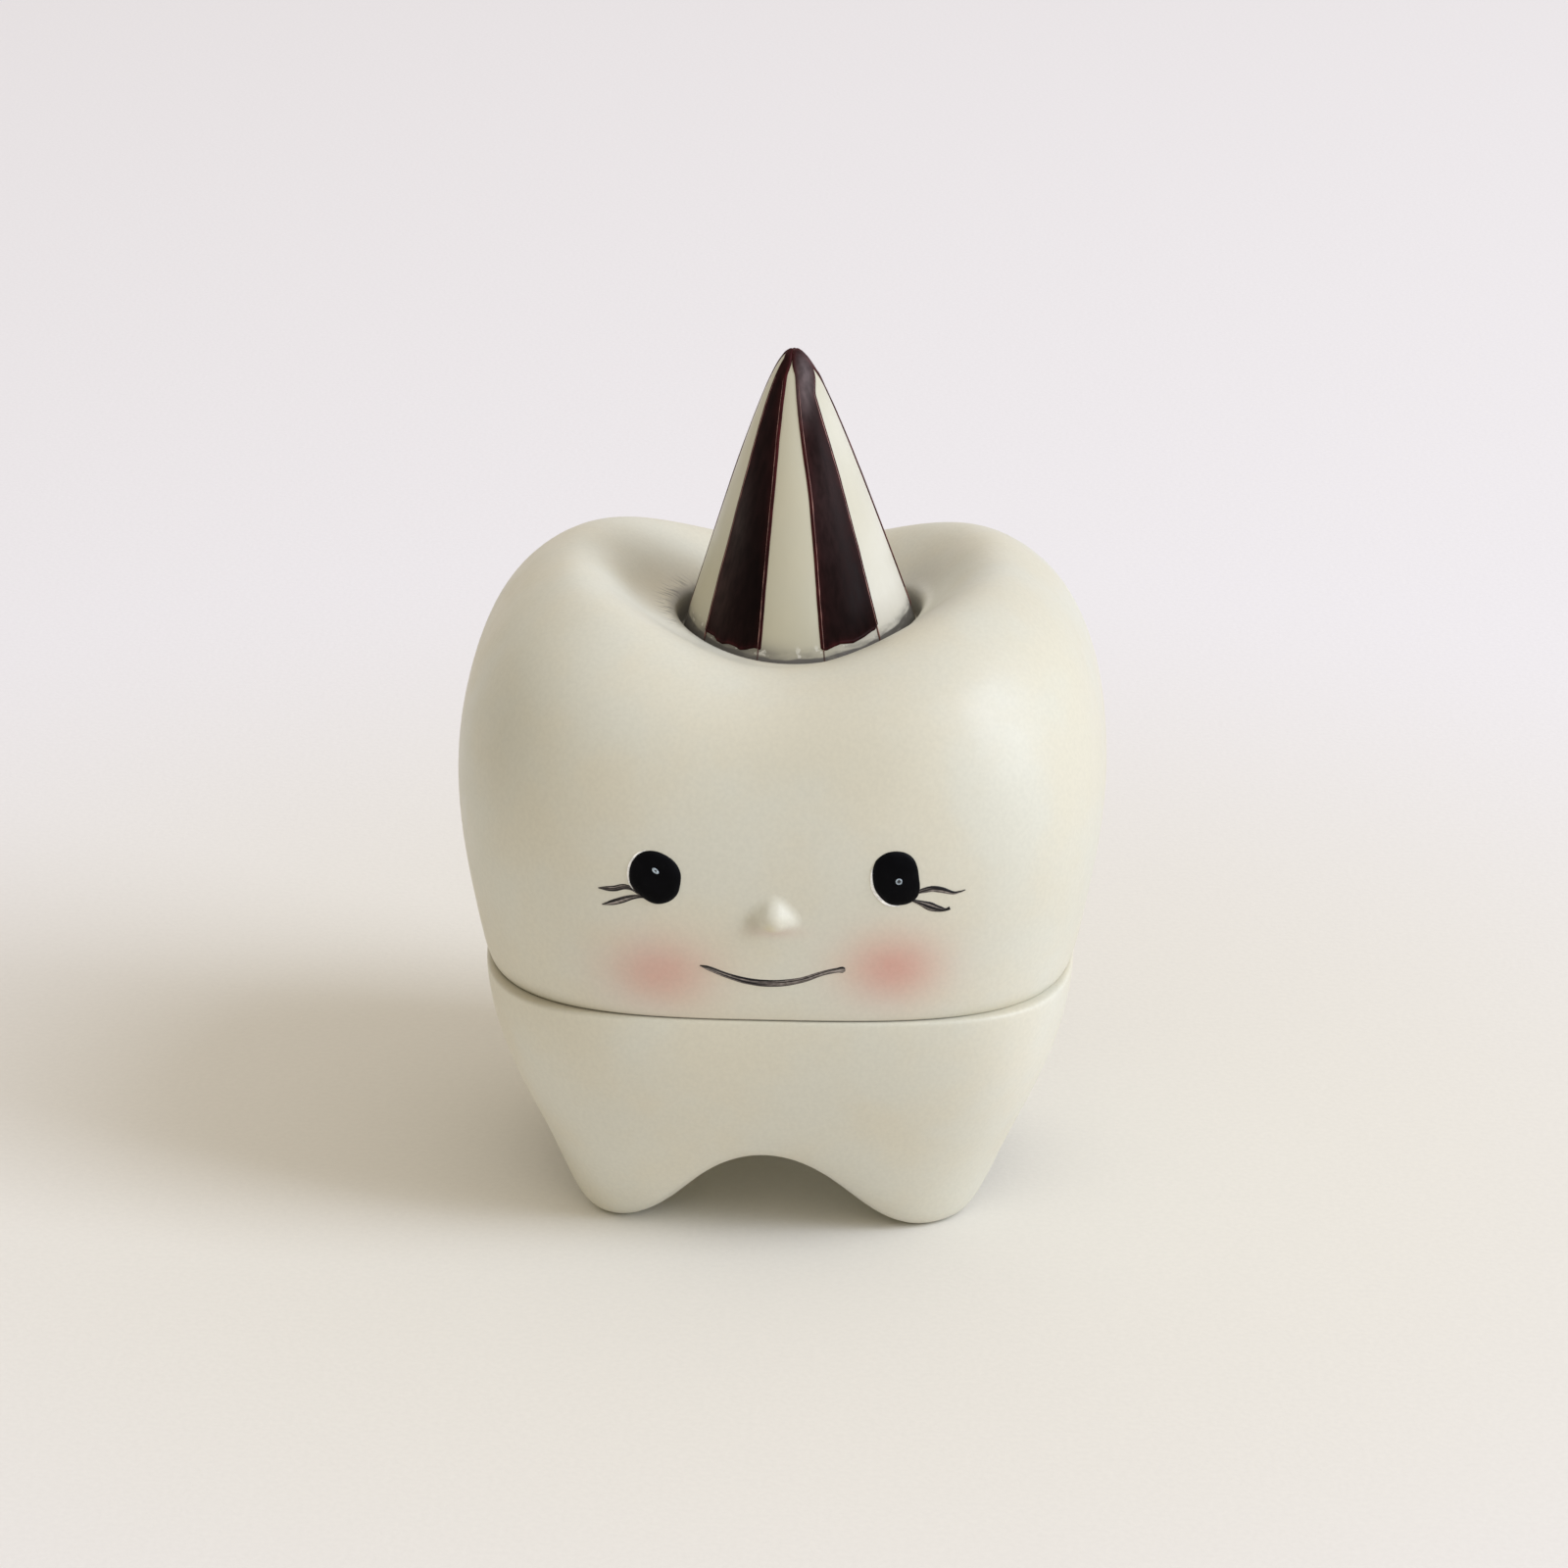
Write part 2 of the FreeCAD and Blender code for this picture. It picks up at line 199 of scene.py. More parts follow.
def layFloor(plan):
    reach = plan["reach"]
    mesh = bpy.data.meshes.new("paperFloor")
    corners = [(-reach, -reach, 0), (reach, -reach, 0), (reach, reach, 0), (-reach, reach, 0)]
    mesh.from_pydata(corners, [], [(0, 1, 2, 3)])
    floor = bpy.data.objects.new("paperFloor", mesh)
    scene.collection.objects.link(floor)
    coat, tree, shader, place = startCoat("palePaper")
    tooth = grain(tree, place, plan["tooth"], detail=5.0)
    away = addNode(tree, "ShaderNodeVectorMath", {0: place}, operation="LENGTH").outputs["Value"]
    away = span(tree, away, *(edge / mm for edge in plan["fade"]))
    # the paper darkens and warms towards the box: painted shade round it
    paper = mixed(tree, away, (*plan["near"], 1), (*plan["far"], 1))
    paper = mixed(tree, seenRay(tree), (*plan["bounce"], 1), paper)
    paper = shaded(tree, paper, span(tree, tooth, *noiseMost, *plan["toothTone"]))
    tree.links.new(paper, shader.inputs["Base Color"])
    tree.links.new(raised(tree, tooth, plan["toothDepth"]), shader.inputs["Normal"])
    shader.inputs["Roughness"].default_value = plan["rough"]
    shader.inputs["Specular IOR Level"].default_value = plan["shine"]
    dress(floor, coat)
    floor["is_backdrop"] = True


def lightRoom(plan):
    turn, height = (math.radians(angle) for angle in plan["from"])
    way = Vector((math.cos(turn) * math.cos(height), -math.sin(turn) * math.cos(height), math.sin(height)))
    facing = way.to_track_quat("Z", "Y").to_matrix().to_4x4()
    lamp = bpy.data.lights.new("softWindow", "AREA")
    lamp.shape = "RECTANGLE"
    lamp.size, lamp.size_y = plan["size"]
    lamp.energy = plan["power"]
    lamp.color = plan["tint"]
    window = bpy.data.objects.new("softWindow", lamp)
    window.matrix_world = Matrix.Translation(way * plan["distance"]) @ facing
    scene.collection.objects.link(window)
    world = bpy.data.worlds.new("warmRoom")
    scene.world = world
    world.use_nodes = True
    tree = world.node_tree
    outlook = split(tree, addNode(tree, "ShaderNodeTexCoord").outputs["Generated"])
    room = mixed(tree, outlook["Z"], (*plan["walls"], 1), (*plan["ceiling"], 1))
    room = mixed(tree, seenRay(tree), room, (*plan["backdrop"], 1))
    tree.links.new(room, tree.nodes["Background"].inputs["Color"])


layFloor(floorPlan)
lightRoom(lightPlan)
print("floor and light set")


# Ivory coat on the cast base and lid, sizes in millimetres

ivory = {
    "warm": (0.668, 0.63, 0.508),
    "cool": (0.66, 0.642, 0.542),
    "blotch": 11.0, "blotchEdge": (0.35, 0.65),
    "speckle": 0.4, "speckleTone": (0.97, 1.02),
    "ripple": (6.0, 0.035),     # width and depth of the hand-sanded waves
    "peel": (0.55, 0.004),      # and of the sprayed coat's skin
    "rough": (0.40, 0.52),
}
rawResin = {
    "colour": (0.66, 0.62, 0.52),
    "speckle": 0.8, "speckleTone": (0.93, 1.05),
    "hole": 0.7, "holeEdge": (0.24, 0.29), "holeTone": 0.72,
    "side": (0.985, 1.0), "fade": 0.3,      # how it gives way to the ivory, outwards and at its heights
    "base": {"halves": (25.2, 23.4), "heights": (13.0, 31.0)},
    "lid": {"halves": (26.0, 24.2), "heights": (26.0, 50.0)},
}
# painted shade in the seam between lid and base
seamLine = {
    "halves": (29.81, 27.99), "rim": (0.925, 0.945),    # the lid's outline, and the share of it where the line starts
    "heights": (26.8, 27.05),
    "patch": 9.0, "worn": (0.85, 1.0),
    "fade": (12.0, 25.0), "right": 0.2,     # this painted shade thins out towards the lit right side
    "colour": (0.04, 0.027, 0.015),
}
# a painted shadow on the base's ledge, darkest on the left
ledgePaintedShadow = {"heights": (26.35, 26.78), "fade": (-22.0, -6.0), "strength": 0.4, "colour": (0.30, 0.255, 0.165)}
spray = {"dot": 0.9, "edge": (0.2, 0.8), "least": 0.9}
rose, tipHighlightTint, noseShade = (0.93, 0.44, 0.44), (0.95, 0.9, 0.62), (0.72, 0.68, 0.62)
blushAndNoseShading = (                       # both cheeks, a breath of it under the nose, a painted yellow highlight tint on its tip and painted shade on its left side
    {"middle": (-11.1, -28.7, 32.2), "spread": (3.6, 9.0, 2.8), "strength": 0.66, "tint": rose},
    {"middle": (11.6, -28.9, 33.1), "spread": (3.3, 9.0, 2.7), "strength": 0.78, "tint": rose},
    {"middle": (0.3, -30.8, 37.1), "spread": (1.9, 2.0, 0.5), "strength": 0.2, "tint": rose},
    {"middle": (-0.4, -31.7, 37.9), "spread": (0.45, 1.0, 0.4), "strength": 0.45, "tint": tipHighlightTint},
    {"middle": (-1.95, -30.9, 37.9), "spread": (0.65, 2.0, 0.8), "strength": 0.75, "tint": noseShade},
)
paintedLightAndShade = (                   # painted light and shade: patches that lighten or darken the ivory where its lit and shaded tones fall
    {"middle": (5.0, -25.0, 55.0), "spread": (7.0, 8.0, 4.0), "strength": 1.0, "tint": (0.92, 0.915, 0.90)},
    {"middle": (19.0, -5.0, 63.0), "spread": (5.0, 8.0, 4.0), "strength": 1.0, "tint": (0.91, 0.91, 0.91)},
    {"middle": (-26.5, -19.0, 53.0), "spread": (3.0, 7.0, 6.0), "strength": 1.0, "tint": (0.86, 0.87, 0.88)},
    {"middle": (-16.0, 8.0, 65.5), "spread": (5.0, 5.0, 3.0), "strength": 1.0, "tint": (1.09, 1.09, 1.1)},
    {"middle": (-27.0, -15.0, 16.8), "spread": (3.0, 7.0, 6.0), "strength": 1.0, "tint": (1.08, 1.07, 1.08)},
    {"middle": (26.0, -20.0, 18.7), "spread": (4.0, 8.0, 7.0), "strength": 1.0, "tint": (1.07, 1.08, 1.12)},
    {"middle": (-14.0, -18.0, 6.0), "spread": (5.0, 8.0, 4.0), "strength": 1.0, "tint": (1.08, 1.09, 1.11)},
)
footWashAndShade = {
    "middle": (1.2, 0, 0),
    "reach": (12.2, 13.7),          # radii where the wash is full and where it ends
    "level": (55.0, 57.4),
    "strength": 0.48, "patch": 1.6, "uneven": 0.25,
    "sides": (0.35, 0.95), "front": 0.4,        # weaker in front than at the sides
    "rightFade": (3.0, 10.0), "right": 0.2,     # and weakest on the lit right side, as painted shade
    "wisps": (34.0, 0.35),          # brush hairs to the radian round the hat, and their changes to the millimetre
    "wispEdge": (0.5, 0.6), "wispReach": (12.8, 15.0), "wispStrength": 0.65,
    "wispSide": (-10.5, -12.5),     # on the left alone
    "colour": (0.035, 0.033, 0.032),
}


def touched(tree, place, ground, touches, blend):  # soft round touches of sprayed paint
    for touch in touches:
        away = stretched(tree, vectors(tree, "SUBTRACT", place, touch["middle"])[0], touch["spread"])
        square = vectors(tree, "DOT_PRODUCT", away, away)["Value"]
        mist = sums(tree, "EXPONENT", sums(tree, "MULTIPLY", square, -0.5))
        full = touch["strength"]
        dots = span(tree, grain(tree, place, spray["dot"], detail=4.0), *spray["edge"], spray["least"] * full, full)
        ground = mixed(tree, sums(tree, "MULTIPLY", mist, dots), ground, (*touch["tint"], 1), blend)
    return ground


def ivoryGround(tree, place, plan):
    blotch = span(tree, grain(tree, place, plan["blotch"], detail=4.0), *plan["blotchEdge"])
    ground = mixed(tree, blotch, (*plan["warm"], 1), (*plan["cool"], 1))
    ground = touched(tree, place, ground, paintedLightAndShade, "MULTIPLY")
    return shaded(tree, ground, span(tree, grain(tree, place, plan["speckle"]), *noiseMost, *plan["speckleTone"]))


def ivoryFinish(tree, shader, place, plan):
    wide, deep = plan["ripple"]
    ripple = raised(tree, grain(tree, place, wide, detail=1.0), deep)
    wide, deep = plan["peel"]
    tree.links.new(raised(tree, grain(tree, place, wide, detail=2.0), deep, ripple), shader.inputs["Normal"])
    worn = span(tree, grain(tree, place, plan["blotch"] / 3, detail=4.0), *noiseMiddle, *plan["rough"])
    tree.links.new(worn, shader.inputs["Roughness"])


def squareSize(tree, parts, halves):
    # one at the edge of a rounded square of these half sizes, less inside it
    corners = [sums(tree, "POWER", sums(tree, "ABSOLUTE", sums(tree, "DIVIDE", parts[axis], half)), 4.0)
               for axis, half in zip("XY", halves)]
    return sums(tree, "POWER", sums(tree, "ADD", *corners), 0.25)


def seamPaintedShade(tree, place, ground, plan):
    # painted shade: a dark hairline on the lid's lower edge, outside alone, where the seam is in shade
    parts = split(tree, place)
    line = span(tree, parts["Z"], *plan["heights"], 1.0, 0.0)
    worn = span(tree, grain(tree, place, plan["patch"], detail=4.0), *noiseMiddle, *plan["worn"])
    worn = sums(tree, "MULTIPLY", worn, span(tree, parts["X"], *plan["fade"], 1.0, plan["right"]))
    outer = sums(tree, "MULTIPLY", worn, span(tree, squareSize(tree, parts, plan["halves"]), *plan["rim"]))
    return mixed(tree, sums(tree, "MULTIPLY", line, outer), ground, (*plan["colour"], 1))


def paintLedgeShadow(tree, place, ground, plan):
    # painted shadow that the lid throws on the base's rounded corners beside it, on the left side alone
    parts = split(tree, place)
    shadow = span(tree, parts["Z"], *plan["heights"])
    shadow = sums(tree, "MULTIPLY", shadow, span(tree, parts["X"], *plan["fade"], plan["strength"], 0.0))
    return mixed(tree, shadow, ground, (*plan["colour"], 1))


def washedAndShaded(tree, place, ground, plan):
    # dark wash and painted shade in the dimple round the hat, with brush hairs on its left
    parts = split(tree, vectors(tree, "SUBTRACT", place, plan["middle"])[0])
    flat = addNode(tree, "ShaderNodeCombineXYZ", {"X": parts["X"], "Y": parts["Y"]}).outputs[0]
    radius = addNode(tree, "ShaderNodeVectorMath", {0: flat}, operation="LENGTH").outputs["Value"]
    turn = sums(tree, "ARCTAN2", parts["Y"], parts["X"])
    uneven = span(tree, grain(tree, place, plan["patch"]), *noiseMost, -plan["uneven"], plan["uneven"])
    wash = span(tree, sums(tree, "ADD", radius, uneven), *plan["reach"], plan["strength"], 0.0)
    aside = sums(tree, "ABSOLUTE", sums(tree, "DIVIDE", parts["X"], radius))
    wash = sums(tree, "MULTIPLY", wash, span(tree, aside, *plan["sides"], plan["front"], 1.0))
    wash = sums(tree, "MULTIPLY", wash, span(tree, parts["X"], *plan["rightFade"], 1.0, plan["right"]))
    hairs = addNode(tree, "ShaderNodeCombineXYZ", {
        "X": sums(tree, "MULTIPLY", turn, plan["wisps"][0]),
        "Y": sums(tree, "MULTIPLY", radius, plan["wisps"][1]),
    }).outputs[0]
    hairs = span(tree, grain(tree, hairs, 1.0, detail=2.0), *plan["wispEdge"])
    wisps = sums(tree, "MULTIPLY", hairs, span(tree, radius, *plan["wispReach"], plan["wispStrength"], 0.0))
    wisps = sums(tree, "MULTIPLY", wisps, span(tree, parts["X"], *plan["wispSide"]))
    wash = sums(tree, "MULTIPLY", sums(tree, "MAXIMUM", wash, wisps), span(tree, parts["Z"], *plan["level"]))
    return mixed(tree, wash, ground, (*plan["colour"], 1))


def bareInside(tree, place, ground, room, plan):
    # raw casting wherever the surface lies inside this rounded square and between these heights
    parts = split(tree, place)
    low, high = room["heights"]
    inside = span(tree, squareSize(tree, parts, room["halves"]), *plan["side"], 1.0, 0.0)
    inside = sums(tree, "MULTIPLY", inside, span(tree, parts["Z"], low, low + plan["fade"]))
    inside = sums(tree, "MULTIPLY", inside, span(tree, parts["Z"], high - plan["fade"], high, 1.0, 0.0))
    speckle = span(tree, grain(tree, place, plan["speckle"], detail=5.0), *noiseMost, *plan["speckleTone"])
    holes = span(tree, grain(tree, place, plan["hole"], detail=0.0), *plan["holeEdge"], plan["holeTone"], 1.0)
    raw = shaded(tree, plan["colour"], sums(tree, "MULTIPLY", speckle, holes))
    return mixed(tree, inside, ground, raw)


def coatBase():
    coat, tree, shader, place = startCoat("ivoryBaseCoat")
    ground = ivoryGround(tree, place, ivory)
    ground = paintLedgeShadow(tree, place, ground, ledgePaintedShadow)
    ground = bareInside(tree, place, ground, rawResin["base"], rawResin)
    tree.links.new(ground, shader.inputs["Base Color"])
    ivoryFinish(tree, shader, place, ivory)
    dress(nodes["base"], coat)


def coatLid():
    coat, tree, shader, place = startCoat("ivoryLidCoat")
    ground = ivoryGround(tree, place, ivory)
    ground = seamPaintedShade(tree, place, ground, seamLine)
    ground = touched(tree, place, ground, blushAndNoseShading, "MULTIPLY")
    ground = bareInside(tree, place, ground, rawResin["lid"], rawResin)
    ground = washedAndShaded(tree, place, ground, footWashAndShade)
    tree.links.new(ground, shader.inputs["Base Color"])
    ivoryFinish(tree, shader, place, ivory)
    dress(nodes["lid"], coat)


coatBase()
coatLid()
print("ivory coat on base and lid")


# Hat, sizes in millimetres

hat = {
    "shift": 1.5, "seat": 57.8, "lean": -1.6,       # the lean in degrees
    "radius": 11.9, "height": 29.2, "brow": 2.2, "ogive": 1.6,     # its side is one conic
    "rim": (0.7, 1.8, 0.5),             # the crown's edge over the seat, what both sides add and what the right adds
    "warm": (0.555, 0.517, 0.388), "pale": (0.55, 0.527, 0.412), "blotch": 9.0, "blotchEdge": (0.2, 0.8),
    "streak": (1.8, 1.8, 24.0), "streakTone": (0.99, 1.01), "streakDepth": 0.003,
    "touches": (                        # painted light on the lit right side, painted shade on the left side, and a smudge
        {"middle": (11.0, -3.0, 61.0), "spread": (4.0, 8.0, 9.0), "strength": 0.72, "tint": (0.86, 0.84, 0.77)},
        {"middle": (5.5, -2.5, 80.0), "spread": (2.0, 4.0, 4.5), "strength": 0.3, "tint": (0.86, 0.84, 0.77)},
        {"middle": (-8.5, -5.0, 62.0), "spread": (2.5, 6.0, 6.0), "strength": 0.12, "tint": (0.35, 0.34, 0.30)},
        {"middle": (-4.5, -10.0, 59.1), "spread": (3.5, 5.0, 0.7), "strength": 0.8, "tint": (0.16, 0.15, 0.135)},
    ),
    "rough": (0.3, 0.42), "roughPatch": 4.0,
}
hatFoot = {                             # dirt and painted contact shade on its foot, with heights over the crown's edge
    "uneven": 0.1, "unevenPatch": 2.5,
    "grimeAndShade": (0.13, 0.122, 0.11), "grimeStrength": 0.65,
    "grimeTop": (0.22, 1.4),            # where it thins out and where it ends
    "smear": (1.6, 1.6, 0.5), "smearStrength": (0.2, 0.7),
    "fleck": (0.74, 0.72, 0.65), "fleckSize": 0.9, "fleckEdge": (0.6, 0.68), "fleckStrength": 0.7,
    "fleckStart": (0.15, 0.3), "fleckEnd": (0.9, 1.5),
}
hatPlace = (Matrix.Translation(Vector((hat["shift"], 0, hat["seat"])) * mm)
            @ Matrix.Rotation(math.radians(hat["lean"]), 4, "Y"))


def hatSide(share):  # radius and height on its side, from the foot at zero to the tip at one
    foot, brow, tip = (1 - share) ** 2, 2 * hat["ogive"] * share * (1 - share), share ** 2
    whole = foot + brow + tip
    return (foot * hat["radius"] + brow * hat["brow"]) / whole, (brow + tip) * hat["height"] / whole


hatSteps = 600
hatWays = [0.0]
for i in range(hatSteps):
    hatWays.append(hatWays[-1] + math.dist(hatSide(i / hatSteps), hatSide((i + 1) / hatSteps)))
hatRun = hatWays[-1]


def hatOutline(way):
    # radius, height and outward direction this far along the side, from the foot
    k = min(max(bisect(hatWays, way) - 1, 0), hatSteps - 1)
    share = (k + (way - hatWays[k]) / (hatWays[k + 1] - hatWays[k])) / hatSteps
    radius, height = hatSide(share)
    before, after = hatSide(share - 0.5 / hatSteps), hatSide(share + 0.5 / hatSteps)
    run = math.dist(before, after)
    return radius, height, ((after[1] - before[1]) / run, (before[0] - after[0]) / run)


def onHat(way, turn, lift):  # turn in degrees from the front to the right
    radius, height, out = hatOutline(way)
    radius += out[0] * lift
    height += out[1] * lift
    angle = math.radians(turn)
    return hatPlace @ (Vector((radius * math.sin(angle), -radius * math.cos(angle), height)) * mm)


def shadeAndDirtOnFoot(tree, place, ground, plan):
    rim, bothSides, rightSide = hat["rim"]
    parts = split(tree, vectors(tree, "SUBTRACT", place, (hat["shift"], 0, hat["seat"] + rim))[0])
    aside = sums(tree, "DIVIDE", parts["X"], hat["radius"])
    edge = sums(tree, "MULTIPLY", sums(tree, "MULTIPLY", aside, aside), bothSides)
    edge = sums(tree, "ADD", edge, sums(tree, "MULTIPLY", aside, rightSide))
    uneven = grain(tree, place, plan["unevenPatch"], detail=2.0)
    uneven = span(tree, uneven, *noiseMost, -plan["uneven"], plan["uneven"])
    foot = sums(tree, "ADD", sums(tree, "SUBTRACT", parts["Z"], edge), uneven)
    thins, ends = plan["grimeTop"]
    smear = grain(tree, stretched(tree, place, plan["smear"]), 1.0, detail=4.0)
    smear = span(tree, smear, *noiseMiddle, *plan["smearStrength"])
    smear = sums(tree, "MULTIPLY", smear, span(tree, foot, 0.0, ends, 1.0, 0.0))
    # painted shade along the foot where it meets the crown, with grime smeared above it
    grimeAndShade = sums(tree, "ADD", span(tree, foot, 0.0, thins, plan["grimeStrength"], 0.0), smear)
    ground = mixed(tree, grimeAndShade, ground, (*plan["grimeAndShade"], 1))
    flecks = span(tree, grain(tree, place, plan["fleckSize"]), *plan["fleckEdge"], 0.0, plan["fleckStrength"])
    flecks = sums(tree, "MULTIPLY", flecks, span(tree, foot, *plan["fleckStart"]))
    flecks = sums(tree, "MULTIPLY", flecks, span(tree, foot, *plan["fleckEnd"], 1.0, 0.0))
    return mixed(tree, flecks, ground, (*plan["fleck"], 1))


def coatHat():
    coat, tree, shader, place = startCoat("creamHatPaint")
    streaks = grain(tree, stretched(tree, place, hat["streak"]), 1.0, detail=1.0)
    blotch = span(tree, grain(tree, place, hat["blotch"], detail=1.0), *hat["blotchEdge"])
    ground = mixed(tree, blotch, (*hat["warm"], 1), (*hat["pale"], 1))
    ground = shaded(tree, ground, span(tree, streaks, *noiseMiddle, *hat["streakTone"]))
    ground = touched(tree, place, ground, hat["touches"], "MIX")
    ground = shadeAndDirtOnFoot(tree, place, ground, hatFoot)
    tree.links.new(ground, shader.inputs["Base Color"])
    tree.links.new(raised(tree, streaks, hat["streakDepth"]), shader.inputs["Normal"])
    worn = span(tree, grain(tree, place, hat["roughPatch"], detail=2.0), *noiseMiddle, *hat["rough"])
    tree.links.new(worn, shader.inputs["Roughness"])
    dress(nodes["party_hat"], coat)


coatHat()
print("cream paint on the hat")


# Paint with a thickness of its own

def closedSkin(name, rings, marks):
    # rings of points, each closed, with an end face on the first and the last; marks go to the shader
    count = len(rings[0])
    faces = []
    for i in range(len(rings) - 1):
        for j in range(count):
            k = (j + 1) % count
            faces.append((i * count + j, i * count + k, (i + 1) * count + k, (i + 1) * count + j))
    faces.append(tuple(range(count)))
    faces.append(tuple((len(rings) - 1) * count + j for j in range(count)))
    mesh = bpy.data.meshes.new(name)
    mesh.from_pydata([point for ring in rings for point in ring], [], faces)
    shape = bmesh.new()
    shape.from_mesh(mesh)
    bmesh.ops.recalc_face_normals(shape, faces=shape.faces)
    shape.to_mesh(mesh)
    shape.free()
    mesh.attributes.new("mark", "FLOAT", "POINT").data.foreach_set("value", [m for row in marks for m in row])
    mesh.polygons.foreach_set("use_smooth", [True] * len(mesh.polygons))
    return mesh


def joinSkins(name, meshes):
    shape = bmesh.new()
    for mesh in meshes:
        shape.from_mesh(mesh)
    joined = bpy.data.meshes.new(name)
    shape.to_mesh(joined)
    shape.free()
    for mesh in meshes:
        bpy.data.meshes.remove(mesh)
    thing = bpy.data.objects.new(name, joined)
    scene.collection.objects.link(thing)
    return thing


def settle(thing, coat, slot, *standsFor):
    dress(thing, coat)
    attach(thing, "lid")
    if standsFor:
        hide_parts(*standsFor)


enamelBrush = {"share": (0.7, 1.2), "tone": (0.75, 1.25), "depth": 0.012}     # what its strokes do to every enamel


def enamel(name, plan):
    # the plan's two colours are for unmarked and for marked places
    coat, tree, shader, place = startCoat(name)
    plain, marked = plan["colours"]
    mark = addNode(tree, "ShaderNodeAttribute", attribute_name="mark").outputs["Fac"]
    brushed = grain(tree, stretched(tree, place, plan["streak"]), 1.0, detail=4.0)
    share = sums(tree, "MULTIPLY", mark, span(tree, brushed, *noiseMost, *enamelBrush["share"]))
    ground = mixed(tree, share, (*plain, 1), (*marked, 1))
    ground = touched(tree, place, ground, plan.get("touches", ()), "MIX")
    ground = shaded(tree, ground, span(tree, brushed, *noiseMiddle, *enamelBrush["tone"]))
    tree.links.new(ground, shader.inputs["Base Color"])
    tree.links.new(span(tree, brushed, *noiseMiddle, *plan["rough"]), shader.inputs["Roughness"])
    tree.links.new(raised(tree, brushed, enamelBrush["depth"]), shader.inputs["Normal"])
    if "shine" in plan:
        shader.inputs["Specular IOR Level"].default_value = plan["shine"]
    if "shineTint" in plan:
        shader.inputs["Specular Tint"].default_value = (*plan["shineTint"], 1)
    return coat


def wander(way, seed, wide, size):  # a hand's wobble along a line, coarse and fine
    coarse = noise.noise(Vector((way / wide, seed * 7.3, 0.4)))
    fine = noise.noise(Vector((way * 3.1 / wide, seed * 3.7, 2.1)))
    return size * (coarse + 0.35 * fine)


def acrossShares(count):  # from one edge to the other, closer together at the edges
    return [math.sin(math.pi / 2 * math.sin(math.pi / 2 * (2 * j / (count - 1) - 1))) for j in range(count)]


def ease(share):
    share = min(max(share, 0.0), 1.0)
    return share * share * (3 - 2 * share)


# Hat stripes

stripes = {                 # edges in degrees at the foot, and where they head near the tip
    "edges": ((-55.5, -18.0), (12.3, 47.6), (101.0, 134.0), (159.0, 195.0), (223.0, 259.0)),
    "tops": ((-58.0, -18.0), (1.5, 45.0), (108.0, 132.0), (162.0, 190.0), (226.0, 250.0)),
    "narrowing": 16.0,      # over this much of the way to the tip
    "meets": (1.4, 2.2, 1.8, 2.0, 0.5),     # the gap after each stripe closes this far from the tip
    "closing": (1.8, 3.2, 2.0, 2.0, 1.0),   # over this length
    "tip": 0.02,            # they stop this far from it
    "leastRadius": 0.4,     # of the hat, for the wobble
    "wobble": 0.07, "wobbleLength": 6.0,
    "band": 1.35,           # bare band from the foot to the stripes
    "footWobble": 0.4, "footWobbleLength": 1.4, "footCorners": 0.35, "footRise": 1.2,   # their ragged lower ends
    "thick": 0.15, "roll": 0.07,    # full thickness, and how soon it is reached in from the edge
    "bead": 0.05, "beadInset": 0.2, "beadWidth": 0.12,
    "ripple": 0.012,
    "edgeSink": 0.01, "underside": 0.06,
    "markReach": 0.3,
    "rows": 110, "across": 25,
    "colours": ((0.01, 0.0042, 0.0042), (0.055, 0.009, 0.01)),
    "rough": (0.29, 0.38), "streak": (0.6, 0.6, 7.0),
    "shine": 0.045, "shineTint": (1.0, 0.85, 0.76),
    "touches": (            # painted sheen near the tip, on the middle and on the left side, and painted shade low on both front stripes
        {"middle": (1.85, -2.4, 84.2), "spread": (0.6, 3.0, 2.0), "strength": 0.22, "tint": (0.5, 0.40, 0.41)},
        {"middle": (4.0, -5.5, 73.5), "spread": (1.5, 3.0, 5.0), "strength": 0.024, "tint": (0.5, 0.33, 0.34)},
        {"middle": (-6.3, -5.5, 64.0), "spread": (0.8, 3.0, 3.0), "strength": 0.05, "tint": (0.5, 0.34, 0.32)},
        {"middle": (-4.7, -4.2, 72.0), "spread": (0.8, 3.0, 4.0), "strength": 0.06, "tint": (0.5, 0.42, 0.41)},
        {"middle": (-2.4, -8.0, 63.5), "spread": (1.2, 3.0, 6.0), "strength": 0.8, "tint": (0.001, 0.0005, 0.0005)},
        {"middle": (8.2, -7.5, 62.5), "spread": (1.3, 3.0, 3.0), "strength": 0.5, "tint": (0.003, 0.0006, 0.0006)},
    ),
}
guideLines = {
    "inset": 0.3, "width": 0.17, "lift": 0.2, "sink": 0.05,
    "start": 0.25, "end": 3.4, "steps": 70,
    "swell": (0.75, 0.5),       # the width's usual share, and how much it varies
    "climb": 0.5,               # over this length it climbs from the bare band onto the stripe
    "onBand": 0.3,              # share of the lift that it has on the band
    "swellLift": 0.15,          # share of the lift that goes with the width
    "shoulder": (0.6, 0.75),    # how far out and how high its shoulders are
    # the second, pale colour lies on the line's crest as a painted highlight
    "colours": ((0.06, 0.016, 0.014), (0.36, 0.18, 0.15)),
    "rough": (0.3, 0.4), "streak": (0.4, 0.4, 2.0),
}


